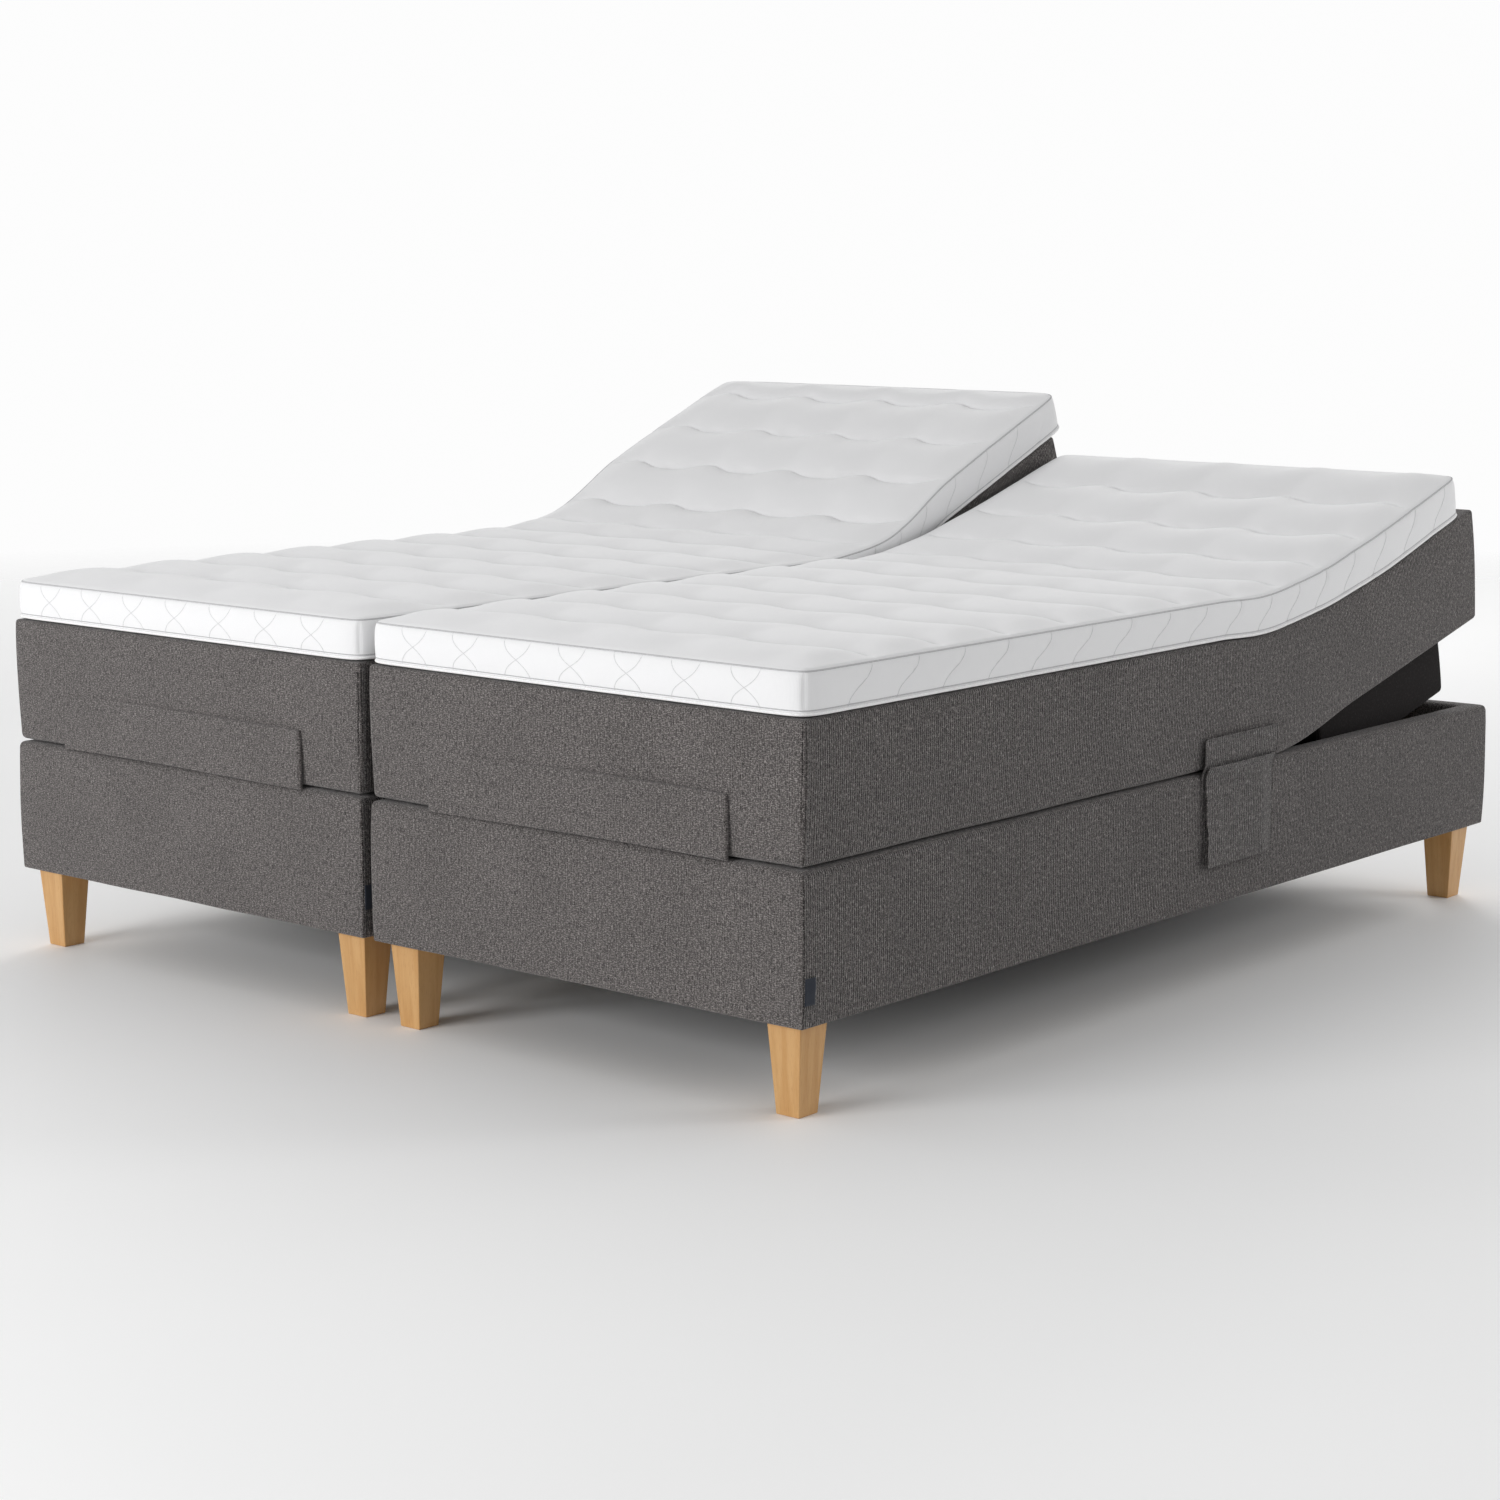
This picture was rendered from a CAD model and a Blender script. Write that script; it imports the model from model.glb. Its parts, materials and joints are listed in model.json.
"""Double adjustable bed: upholstered plinths and upper sections, quilted toppers, wooden legs.

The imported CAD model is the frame. Soft parts are built flat in the frame's own coordinates,
cut where the hinges are, and then bent to the rest pose.
"""
import json
import math

import bmesh
import bpy
import numpy as np
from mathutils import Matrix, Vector
from mathutils.kdtree import KDTree


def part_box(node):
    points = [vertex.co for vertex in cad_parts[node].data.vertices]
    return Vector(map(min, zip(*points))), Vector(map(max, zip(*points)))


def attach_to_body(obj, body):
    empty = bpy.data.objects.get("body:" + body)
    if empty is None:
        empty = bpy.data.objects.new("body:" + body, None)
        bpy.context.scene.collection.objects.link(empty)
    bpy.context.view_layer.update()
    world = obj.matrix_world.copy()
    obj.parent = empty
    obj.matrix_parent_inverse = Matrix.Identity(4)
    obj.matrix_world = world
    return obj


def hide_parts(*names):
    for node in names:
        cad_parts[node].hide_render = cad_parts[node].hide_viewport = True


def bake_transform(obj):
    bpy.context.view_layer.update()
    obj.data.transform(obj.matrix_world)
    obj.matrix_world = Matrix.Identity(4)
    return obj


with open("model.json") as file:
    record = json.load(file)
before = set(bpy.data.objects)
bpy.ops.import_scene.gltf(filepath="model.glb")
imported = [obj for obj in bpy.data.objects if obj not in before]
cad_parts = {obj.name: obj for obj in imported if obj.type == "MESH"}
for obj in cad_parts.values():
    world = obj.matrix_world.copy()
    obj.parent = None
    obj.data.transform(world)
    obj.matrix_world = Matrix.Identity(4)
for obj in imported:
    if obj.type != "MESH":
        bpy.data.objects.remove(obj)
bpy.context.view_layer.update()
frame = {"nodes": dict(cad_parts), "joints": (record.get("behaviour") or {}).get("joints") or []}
JOINTS = {j["name"]: j for j in frame["joints"]}
SIDES = {"left": -1, "right": 1}

# ---------------------------------------------------------------- driving sizes, in metres

SPLIT_HEAD = 0.05       # behind the thigh hinge: where the head piece meets the seat piece
SPLIT_THIGH = -0.20     # where the seat piece meets the foot piece
HEAD_BEND = (0.06, 0.54)
THIGH_BEND = (0.045, -0.19)
SWELL = {"left": 0.014, "right": 0.007}         # how far padding wells up in the crook of the bend
SWELL_AT = {"left": 0.25, "right": 0.33}
SWELL_REACH = 0.11      # how far it spreads along the bed
SAG = {"left": 0.0, "right": 0.014}             # how far the head section's top lies hollow
SAG_SPAN = (0.25, 0.92)
TOPPER_LIFT = {"left": 0.008, "right": 0.010}   # how much fuller a topper is towards its head end
SIDE_LEAN = 0.004       # how far the upper section's sides draw in at their foot
END_LEAN = 0.012        # how far the head end does
KNEE_BEND = (-0.21, -0.62)
WAVE_LENGTH = 0.205     # of the quilting, across the bed
WAVE_HEIGHT = 0.012
ROW_SPACING = 0.168     # between quilting lines, along the bed
PUFF = 0.017            # height of the quilting between its lines
TOP_GRID = 0.015
PLINTH_CORNER, UPPER_CORNER, TOPPER_CORNER = 0.005, 0.006, 0.030    # radii of the upright corners
SOFT_CORNER = 0.050     # the topper's corners are evened out within this distance
THREAD = 0.0011
STITCH, STITCH_GAP = 0.0036, 0.0022
FLAP_EASE = 0.0070      # how far the pocket's top stands out to clear the upper section
POUCH_SEAM = 0.006      # its sides are sewn down this far in from its edges
POUCH_SAG = 0.007       # how much further the pocket's pouch stands off at its bottom
LEG_BEVEL = 0.0018
LABEL_SIZE = (0.021, 0.041)
LABEL_IN = 0.003        # from the plinth's foot end
LABEL_TOP = {"left": 0.232, "right": 0.220}
RETAINER_DROP = 0.004   # how far the retainer hangs over the plinth's rim
WAVE_PHASE = 1.0        # of the quilting, in radians, at the middle of a unit
ROW_START = {"left": -0.003, "right": 0.140}     # one quilting line of each topper
BORDER_LEAN = 0.030     # of the lines across the topper's border
BORDER_THREAD = 0.0006
BORDER_SPACING = 0.114  # between the lines across the topper's border
SIM_FRAMES = 20
SWELL_CAP = 0.004       # how far simulated cloth may move

# ---------------------------------------------------------------- view and light

CAMERA_AT = (3.649, -4.408, 1.277)
AZIMUTH, LOOK_DOWN, LENS = 40.12, 9.46, 74.41
ROOM, BACKDROP = 0.47, 0.98     # brightness of the studio, and of its far side
FLOOR_REACH = (3.4, 7.5)        # where the floor starts to fade into the backdrop, and where it is gone
LAMPS = [
    ("key", (-1.2, -6.4, 2.0), (0, -0.8, 0.4), (3.0, 2.0), 195),
    ("back", (-3.0, 5.0, 2.9), (0, 0, 0.6), (2.0, 1.5), 75),
    ("side", (5.0, 3.6, 2.4), (0.9, 0.2, 0.3), (1.6, 1.6), 60),
]


class Unit:
    """Sizes and hinges of one of the two beds, read from the frame."""

    def __init__(self, name):
        self.name = name
        self.side = SIDES[name]
        head = JOINTS[name + "_head_hinge"]
        self.x = head["pos_m"][0]
        self.hinge = (head["pos_m"][1], head["pos_m"][2])
        self.angle = math.radians(-head["range_deg"][0])
        self.shift = JOINTS[name + "_thigh_hinge"]["pos_m"][1]
        self.plinth = self.box("plinth_cover")
        calf = self.box("mattress_calf")
        self.low, self.top = calf[0][2], calf[1][2]
        self.foot_y = calf[0][1]
        self.half_w = (calf[1][0] - calf[0][0]) / 2
        self.head_y = self.flat_end("mattress_head", self.low)
        topper = self.box("topper_calf")
        self.topper_low, self.topper_top = topper[0][2], topper[1][2]
        self.topper_foot = topper[0][1]
        self.topper_half_w = (topper[1][0] - topper[0][0]) / 2
        self.topper_head = self.flat_end("topper_head", self.topper_low)

    def box(self, part):
        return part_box(self.name + "_" + part)

    def flat_end(self, part, low):
        """Where the head end of a raised section lies when the head is flat."""
        reach = self.box(part)[1][1] - self.hinge[0]
        drop = low - self.hinge[1]
        return self.hinge[0] + (reach + drop * math.sin(self.angle)) / math.cos(self.angle)

    def place(self, co):
        """From the unit's own coordinates, +x its outer side, to the frame's."""
        out = np.array(co, float)
        out[:, 0] = self.x + self.side * out[:, 0]
        return out


# ---------------------------------------------------------------- meshes


def new_mesh(name, verts, faces, smooth=True):
    mesh = bpy.data.meshes.new(name)
    mesh.from_pydata([tuple(v) for v in verts], [], [tuple(f) for f in faces])
    mesh.validate()
    if smooth:
        mesh.shade_smooth()
    obj = bpy.data.objects.new(name, mesh)
    bpy.context.scene.collection.objects.link(obj)
    return obj


def read(items, name):
    """A vector of every one of a mesh's elements, as rows of an array."""
    values = np.empty(len(items) * 3)
    items.foreach_get(name, values)
    return values.reshape(-1, 3)


def vertices_of(obj):
    return read(obj.data.vertices, "co")


def set_vertices(obj, co):
    obj.data.vertices.foreach_set("co", np.asarray(co, np.float32).ravel())
    obj.data.update()


def outward(obj):
    """Turns every face's front to the outside."""
    bm = bmesh.new()
    bm.from_mesh(obj.data)
    bmesh.ops.recalc_face_normals(bm, faces=bm.faces)
    bm.to_mesh(obj.data)
    bm.free()
    return obj


def merge_close(obj):
    bm = bmesh.new()
    bm.from_mesh(obj.data)
    bmesh.ops.remove_doubles(bm, verts=bm.verts, dist=1e-5)
    bm.to_mesh(obj.data)
    bm.free()


def apply_modifiers(obj):
    graph = bpy.context.evaluated_depsgraph_get()
    mesh = bpy.data.meshes.new_from_object(obj.evaluated_get(graph))
    obj.modifiers.clear()
    obj.data = mesh
    return obj


def subdivide(obj):
    mod = obj.modifiers.new("subdivide", "SUBSURF")
    mod.levels = mod.render_levels = 1
    apply_modifiers(obj)
    obj.data.shade_smooth()


def thicken(obj, thickness, offset):
    """Gives a sheet its thickness."""
    mod = obj.modifiers.new("thick", "SOLIDIFY")
    mod.thickness, mod.offset = thickness, offset
    apply_modifiers(obj)
    outward(obj).data.shade_smooth()
    weave_map(obj)


def soften(obj, points, passes):
    """Evens out some of a mesh's points."""
    group = obj.vertex_groups.new(name="soft")
    group.add([int(i) for i in points], 1.0, "REPLACE")
    mod = obj.modifiers.new("soft", "SMOOTH")
    mod.factor, mod.iterations, mod.vertex_group = 0.5, passes, group.name
    apply_modifiers(obj)
    obj.vertex_groups.clear()


def weave_map(obj):
    """UVs in metres, laid flat on each side by the way that its faces look."""
    mesh = obj.data
    layer = mesh.uv_layers.new(name="weave")
    co = vertices_of(obj)
    corner_vertex = np.empty(len(mesh.loops), int)
    mesh.loops.foreach_get("vertex_index", corner_vertex)
    axis = np.abs(read(mesh.polygons, "normal")).argmax(1)
    totals = np.empty(len(mesh.polygons), int)
    mesh.polygons.foreach_get("loop_total", totals)
    axis = np.repeat(axis, totals)
    p = co[corner_vertex]
    u = np.where(axis == 0, p[:, 1], p[:, 0])
    v = np.where(axis == 2, p[:, 1], p[:, 2])
    layer.data.foreach_set("uv", np.stack([u, v], 1).astype(np.float32).ravel())
    return obj


def smoothstep(t):
    t = np.clip(t, 0, 1)
    return t * t * (3 - 2 * t)


def turned(co, hinge, angle):
    """Points turned about an axis along X, each by its own angle."""
    y, z = co[:, 1] - hinge[0], co[:, 2] - hinge[1]
    out = co.copy()
    out[:, 1] = hinge[0] + y * np.cos(angle) - z * np.sin(angle)
    out[:, 2] = hinge[1] + y * np.sin(angle) + z * np.cos(angle)
    return out


def raise_head(unit, flat, span):
    """Rest places of points given where they lie when the head is flat."""
    rest = flat
    for _ in range(30):
        weight = smoothstep((rest[:, 1] - span[0]) / (span[1] - span[0]))
        rest = turned(flat, unit.hinge, weight * unit.angle)
    y = rest[:, 1] - unit.shift
    swell = SWELL[unit.name] * np.exp(-(((y - SWELL_AT[unit.name]) / SWELL_REACH) ** 2))
    swell *= smoothstep((y - SPLIT_HEAD) / 0.08)
    along = np.clip((y - SAG_SPAN[0]) / (SAG_SPAN[1] - SAG_SPAN[0]), 0, 1)
    hollow = SAG[unit.name] * np.sin(math.pi * along) ** 2
    rest[:, 2] += (swell - hollow) * smoothstep((flat[:, 2] - unit.low) / (unit.top - unit.low))
    above = smoothstep((flat[:, 2] - unit.top) / (unit.topper_top - unit.top))
    rest[:, 2] += TOPPER_LIFT[unit.name] * above * smoothstep((y - 0.30) / 0.40)
    return rest


def cut(obj, name, low, high):
    """A copy of the part of a mesh between two distances along the bed."""
    piece = obj.copy()
    piece.data = obj.data.copy()
    piece.name = name
    piece.data.name = name
    bpy.context.scene.collection.objects.link(piece)
    bm = bmesh.new()
    bm.from_mesh(piece.data)
    for y, sign in ((low, 1), (high, -1)):
        if y is not None:
            geom = bm.verts[:] + bm.edges[:] + bm.faces[:]
            bmesh.ops.bisect_plane(
                bm, geom=geom, plane_co=(0, y, 0), plane_no=(0, sign, 0), dist=1e-6, clear_inner=True
            )
    bm.to_mesh(piece.data)
    bm.free()
    return piece


def keep_normals(whole, pieces):
    """Gives cut pieces the whole's normals, so that no seam shows where they meet."""
    mesh = whole.data
    normals = read(mesh.vertex_normals, "vector")
    tree = KDTree(len(mesh.vertices))
    for i, v in enumerate(mesh.vertices):
        tree.insert(v.co, i)
    tree.balance()
    for piece in pieces:
        own = read(piece.data.vertex_normals, "vector")
        rims = {v for e in open_edges(piece.data) for v in e}
        for i in rims:
            near = tree.find_n(piece.data.vertices[i].co, 2)
            weights = [1 / (d + 1e-6) for _, _, d in near]
            own[i] = sum(normals[j] * w for (_, j, _), w in zip(near, weights)) / sum(weights)
        piece.data.normals_split_custom_set_from_vertices([tuple(n) for n in own])


def open_edges(mesh):
    count = {}
    for poly in mesh.polygons:
        for key in poly.edge_keys:
            count[key] = count.get(key, 0) + 1
    return [key for key, n in count.items() if n == 1]


def bend_over_hinges(obj, unit, names, material):
    """Cuts a flat bed-long piece at its hinges, raises its head, and blends each part across its joint."""
    n = unit.name
    parts = [
        (names[0], SPLIT_HEAD, None, "root", n + "_head", HEAD_BEND),
        (names[1], SPLIT_THIGH, SPLIT_HEAD, "root", n + "_thigh", THIGH_BEND),
        (names[2], None, SPLIT_THIGH, n + "_thigh", n + "_calf", KNEE_BEND),
    ]
    pieces = []
    for name, *ends, _, _, _ in parts:
        low, high = (None if end is None else end + unit.shift for end in ends)
        pieces.append(cut(obj, f"{n}_{name}", low, high))
    keep_normals(obj, pieces)
    for piece, (*_, a, b, bend) in zip(pieces, parts):
        start, end = bend[0] + unit.shift, bend[1] + unit.shift
        if b == n + "_head":
            set_vertices(piece, raise_head(unit, vertices_of(piece), (start, end)))
        finish_piece(piece, material)
        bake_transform(piece)
    bpy.data.objects.remove(obj)
    return pieces


def finish_piece(obj, material):
    """Gives a piece its material, or a pair of them: one for its ends, one for its long sides."""
    mesh = obj.data
    mesh.materials.clear()
    materials = material if isinstance(material, tuple) else (material,)
    for each in materials:
        mesh.materials.append(each)
    if len(materials) > 1:
        x, y, z = np.abs(read(mesh.polygons, "normal")).T
        mesh.polygons.foreach_set("material_index", ((x > y) & (x > z)).astype(np.int32))
    return obj


def attach(obj, material, body):
    """Finishes a piece, and lets it ride one body."""
    finish_piece(obj, material)
    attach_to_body(obj, body)


def spaced(low, high, step, fine, reach):
    """Coordinates from low to high, closer together near both ends."""
    near = max(1, round(reach / fine))
    far = max(1, round((high - low - 2 * reach) / step))
    first = np.linspace(low, low + reach, near, endpoint=False)
    middle = np.linspace(low + reach, high - reach, far, endpoint=False)
    last = np.linspace(high - reach, high, near + 1)
    return np.concatenate([first, middle, last])


def grid_box(xs, ys, zs):
    """The surface of a box, cut into a grid at the given coordinates, as (vertices, faces)."""
    index, verts, faces = {}, [], []

    def vertex(i, j, k):
        key = (i, j, k)
        if key not in index:
            index[key] = len(verts)
            verts.append((xs[i], ys[j], zs[k]))
        return index[key]

    last = (len(xs) - 1, len(ys) - 1, len(zs) - 1)
    for axis in range(3):
        u, v = (axis + 1) % 3, (axis + 2) % 3
        for end in (0, last[axis]):
            for i in range(last[u]):
                for j in range(last[v]):
                    corners = []
                    for di, dj in ((0, 0), (1, 0), (1, 1), (0, 1)):
                        ijk = [0, 0, 0]
                        ijk[axis], ijk[u], ijk[v] = end, i + di, j + dj
                        corners.append(vertex(*ijk))
                    faces.append(corners if end else corners[::-1])
    return np.array(verts), faces


def grid_quads(n, m):
    """The faces of a sheet of n by m points."""
    corners = [(i * m + j, (i + 1) * m + j) for i in range(n - 1) for j in range(m - 1)]
    return [(a, b, b + 1, a + 1) for a, b in corners]


def rounded(co, low, high, corner, edge_low, edge_high):
    """Rounds a box's upright corners, and the edges round its bottom and its top."""
    centre, half = (low + high) / 2, (high - low) / 2
    p = co - centre
    edge = np.where(p[:, 2] < 0, edge_low, edge_high)
    over = np.maximum(np.abs(p) - (half - edge[:, None]), 0)
    lateral = np.maximum(over[:, 0], over[:, 1])
    both = (lateral > 0) & (over[:, 2] > 0)
    shrink = np.ones(len(p))
    shrink[both] = np.maximum(lateral, over[:, 2])[both] / np.hypot(lateral, over[:, 2])[both]
    core = np.minimum(np.abs(p), half - edge[:, None])
    p = np.sign(p) * (core + over * shrink[:, None])
    core = half[:2] - corner
    over = np.maximum(np.abs(p[:, :2]) - core, 0)
    both = (over > 0).all(1)
    shrink = np.ones(len(p))
    shrink[both] = over.max(1)[both] / np.hypot(*over[both].T)
    p[:, :2] = np.sign(p[:, :2]) * (np.minimum(np.abs(p[:, :2]), core) + over * shrink[:, None])
    return p + centre


def crowned(co, low, high, side, end):
    """Bulges a box's sides and ends between their edges."""
    centre, half = (low + high) / 2, (high - low) / 2
    t = (co - centre) / half
    bulge = 1 - np.minimum(np.abs(t), 1) ** 2.5
    near = np.minimum(np.abs(t), 1) ** 60
    out = co.copy()
    out[:, 0] += np.sign(t[:, 0]) * side * near[:, 0] * bulge[:, 2] * bulge[:, 1] ** 0.25
    out[:, 1] += np.sign(t[:, 1]) * end * near[:, 1] * bulge[:, 2] * bulge[:, 0] ** 0.25
    return out


def ripple(co, amount, length):
    """A slow unevenness of cloth over padding, the same each time."""
    x, y, z = (co / length * 2 * math.pi).T
    waves = np.sin(1.3 * x + 0.7 * y + 1.1) + np.sin(0.6 * y - 1.2 * z + 0.4)
    return amount * (waves + np.sin(1.9 * z + 0.9 * x + 2.0)) / 3


def along_normals(obj, distance):
    """Moves every point along its normal, each by its own distance."""
    normals = read(obj.data.vertex_normals, "vector")
    set_vertices(obj, vertices_of(obj) + normals * distance[:, None])


def upholstered(low, high, corner, edges, crown, step=0.02):
    """A padded box of fabric, in a unit's own coordinates, before it is placed."""
    low, high = np.array(low, float), np.array(high, float)
    axes = [spaced(a, b, step, 0.003, min(0.03, (b - a) / 3)) for a, b in zip(low, high)]
    co, faces = grid_box(*axes)
    co = crowned(co, low, high, crown, crown)
    co = rounded(co, low, high, corner, *edges)
    return co, faces


def plan_loop(half, radius, step, arc=8):
    """Points round a rounded rectangle, with the outward direction at each."""
    hx, hy = half
    points, normals = [], []
    corners = [(hx - radius, hy - radius, 0), (radius - hx, hy - radius, 90),
               (radius - hx, radius - hy, 180), (hx - radius, radius - hy, 270)]
    for i, (cx, cy, start) in enumerate(corners):
        for k in range(arc + 1):
            a = math.radians(start + 90 * k / arc)
            points.append((cx + radius * math.cos(a), cy + radius * math.sin(a)))
            normals.append((math.cos(a), math.sin(a)))
        nx, ny = corners[(i + 1) % 4][:2]
        a = math.radians(start + 90)
        end = (nx + radius * math.cos(a), ny + radius * math.sin(a))
        begin = points[-1]
        n = max(1, round(math.hypot(end[0] - begin[0], end[1] - begin[1]) / step))
        for k in range(1, n):
            points.append(tuple(b + (e - b) * k / n for b, e in zip(begin, end)))
            normals.append((math.cos(a), math.sin(a)))
    return np.array(points), np.array(normals)


def swept(loop, normals, profile, centre):
    """A closed band: a closed profile of (inset, height) points taken round a plan loop."""
    count, rings = len(loop), len(profile)
    verts = []
    half = loop.max(0)
    for inset, z in profile:
        xy = np.clip(loop - normals * inset, inset - half, half - inset) + centre
        verts.append(np.column_stack([xy, np.full(count, z)]))
    faces = []
    for r in range(rings):
        s = (r + 1) % rings
        for i in range(count):
            j = (i + 1) % count
            faces.append((r * count + i, r * count + j, s * count + j, s * count + i))
    return np.vstack(verts), faces


def arc_points(centre, radius, start, end, count):
    angles = np.radians(np.linspace(start, end, count))
    return [(centre[0] + radius * math.cos(a), centre[1] + radius * math.sin(a)) for a in angles]


# ---------------------------------------------------------------- plinth


def make_plinth(unit, material):
    low, high = np.array(unit.plinth[0]), np.array(unit.plinth[1])
    frame_low, frame_high = unit.box("plinth_frame")
    half = (high - low)[:2] / 2
    skin = (frame_low[0] - low[0]) - 0.0006
    rim_in, lip_h = 0.042, 0.050
    board_in = 0.0366
    z0, z1, board_top = low[2], high[2], frame_high[2] + 0.0006
    round_out, round_in, round_low = 0.012, 0.011, 0.004
    profile = arc_points((round_low, z0 + round_low), round_low, 270, 180, 5)
    levels = np.linspace(z0 + round_low, z1 - round_out, 12)[1:-1]
    bulge = 0.0022
    mid, reach = (z0 + z1) / 2, (z1 - z0) / 2
    profile += [(-bulge * (1 - ((z - mid) / reach) ** 2), z) for z in levels]
    profile += arc_points((round_out, z1 - round_out), round_out, 180, 90, 7)
    profile += arc_points((rim_in - round_in, z1 - round_in), round_in, 90, 0, 6)
    profile += [(rim_in, z1 - 0.025), (rim_in, z1 - lip_h + 0.002), (rim_in - 0.002, z1 - lip_h)]
    profile += [(board_in, z1 - lip_h), (board_in, board_top), (skin, board_top), (skin, z0 + 0.001)]
    loop, normals = plan_loop(half, PLINTH_CORNER, 0.022)
    centre = (low + high)[:2] / 2
    verts, faces = swept(loop, normals, profile, centre)
    obj = new_mesh(unit.name + "_plinth_upholstery", verts, faces)
    merge_close(obj)
    outward(obj)
    along_normals(obj, ripple(vertices_of(obj), 0.0007, 0.31))
    weave_map(obj)
    attach(obj, material, "root")
    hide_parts(unit.name + "_plinth_cover")
    return obj


def on_surface(obj, points, direction, lift):
    """Points moved along a direction until they touch a mesh, and back by a lift."""
    found, direction = [], Vector(direction)
    for p in points:
        hit, where, *_ = obj.ray_cast(Vector(p) - direction * 0.05, direction, distance=0.2)
        if hit:
            found.append(tuple(where - direction * lift))
    return found


def corner_seam(name, cloth, x, sign, across, heights, material, body):
    """A flat stitched seam that runs up beside a corner: a folded edge and its line of stitches."""
    tag = f"{name}_{'plus_x' if sign > 0 else 'minus_x'}"
    zs = np.linspace(heights[0], heights[1], 40)
    into = (-sign, 0, 0)
    buried, fold_low, fold_high = -0.0010, 0.0007, 0.0009
    outline = [(across[0], buried), (across[0], fold_low), (across[1], fold_high), (across[1], buried)]
    rings = [on_surface(cloth, [(x, y, z) for z in zs], into, lift) for y, lift in outline]
    count = min(len(r) for r in rings)
    verts = [p for ring in rings for p in ring[:count]]
    faces = [
        (r * count + i, r * count + i + 1, ((r + 1) % 4) * count + i + 1, ((r + 1) % 4) * count + i)
        for r in range(4) for i in range(count - 1)
    ]
    faces += [tuple(r * count for r in range(4)), tuple(r * count + count - 1 for r in range(4))[::-1]]
    fold = outward(new_mesh(tag, verts, faces, smooth=False))
    weave_map(fold)
    attach(fold, material, body)
    middle = across[0] + 0.7 * (across[1] - across[0])
    path = on_surface(cloth, [(x, middle, z) for z in zs], into, fold_high)
    attach(stitches(tag + "_stitches", path, (sign, 0, 0)), seam_thread, body)


def make_label(unit, cloth, material):
    """A small blank woven label, sewn in at the plinth's corner."""
    x = unit.plinth[1][0]
    y0, z1 = unit.plinth[0][1] + LABEL_IN, LABEL_TOP[unit.name]
    wide, tall = LABEL_SIZE
    ys, zs = np.linspace(y0, y0 + wide, 12), np.linspace(z1 - tall, z1, 16)
    points = []
    for y in ys:
        for z in zs:
            touch = on_surface(cloth, [(x, y, z)], (-1, 0, 0), 0.0012)
            free = smoothstep((y - y0) / wide)
            off = 0.0022 * free + 0.0006 * math.sin(z * 160) * free
            points.append(Vector(touch[0]) + Vector((off, 0, 0)))
    label = new_mesh(unit.name + "_label", points, grid_quads(len(ys), len(zs)))
    thicken(label, 0.0007, 0)
    attach(label, material, "root")


def make_legs(unit, material):
    """Four tapered legs with eased edges, where the frame has them."""
    co = vertices_of(frame["nodes"][unit.name + "_legs"])
    low, high = unit.box("legs")
    middle = ((low[0] + high[0]) / 2, (low[1] + high[1]) / 2)
    for number, (sx, sy) in enumerate(((-1, -1), (1, -1), (-1, 1), (1, 1))):
        own = co[(np.sign(co[:, 0] - middle[0]) == sx) & (np.sign(co[:, 1] - middle[1]) == sy)]
        foot = own[own[:, 2] < low[2] + 0.001]
        head = own[own[:, 2] > high[2] - 0.001]
        verts = []
        for ring, z in ((foot, low[2]), (head, high[2])):
            x0, y0 = ring.min(0)[:2]
            x1, y1 = ring.max(0)[:2]
            verts += [(x0, y0, z), (x1, y0, z), (x1, y1, z), (x0, y1, z)]
        faces = [(0, 3, 2, 1), (4, 5, 6, 7)]
        faces += [(i, (i + 1) % 4, (i + 1) % 4 + 4, i + 4) for i in range(4)]
        leg = new_mesh(f"{unit.name}_leg_{number + 1}", verts, faces)
        mod = leg.modifiers.new("eased", "BEVEL")
        mod.width, mod.segments = LEG_BEVEL, 4
        apply_modifiers(leg)
        leg.data.shade_smooth()
        mod = leg.modifiers.new("flat faces", "WEIGHTED_NORMAL")
        mod.keep_sharp = False
        apply_modifiers(leg)
        attach(leg, material, "root")
        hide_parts(unit.name + "_legs")


# ---------------------------------------------------------------- upper section


def make_upper(unit, material):
    low = (-unit.half_w, unit.foot_y, unit.low)
    high = (unit.half_w, unit.head_y, unit.top)
    co, faces = upholstered(low, high, UPPER_CORNER, (0.010, 0.006), 0.004)
    t = np.clip((co[:, 2] - unit.low) / (unit.top - unit.low), 0, 1)
    drawn_in = SIDE_LEAN * (1 - smoothstep(t / 0.65))
    co[:, 0] -= np.sign(co[:, 0]) * drawn_in * np.abs(co[:, 0] / unit.half_w) ** 6
    co[:, 1] -= END_LEAN * (1 - t) * smoothstep((co[:, 1] - unit.head_y + 0.30) / 0.30)
    drawn_in = 0.4 * SIDE_LEAN * (1 - smoothstep(t / 0.5))
    co[:, 1] += drawn_in * smoothstep((unit.foot_y + 0.10 - co[:, 1]) / 0.10)
    obj = outward(new_mesh(unit.name + "_upper", unit.place(co), faces))
    along_normals(obj, ripple(vertices_of(obj), 0.0008, 0.27))
    weave_map(obj)
    for sign in (-1, 1):
        edge = unit.x + sign * unit.half_w
        across = (unit.foot_y + 0.0055, unit.foot_y + 0.0115)
        heights = (unit.low + 0.012, unit.top - 0.007)
        seam, body = unit.name + "_seam", unit.name + "_calf"
        corner_seam(seam, obj, edge, sign, across, heights, material[1], body)
    names = ("upper_head", "upper_seat", "upper_foot")
    head, seat, foot = bend_over_hinges(obj, unit, names, material)
    n = unit.name
    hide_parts(n + "_mattress_head")
    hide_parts(n + "_mattress_seat", n + "_mattress_thigh")
    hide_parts(n + "_mattress_calf")


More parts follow.
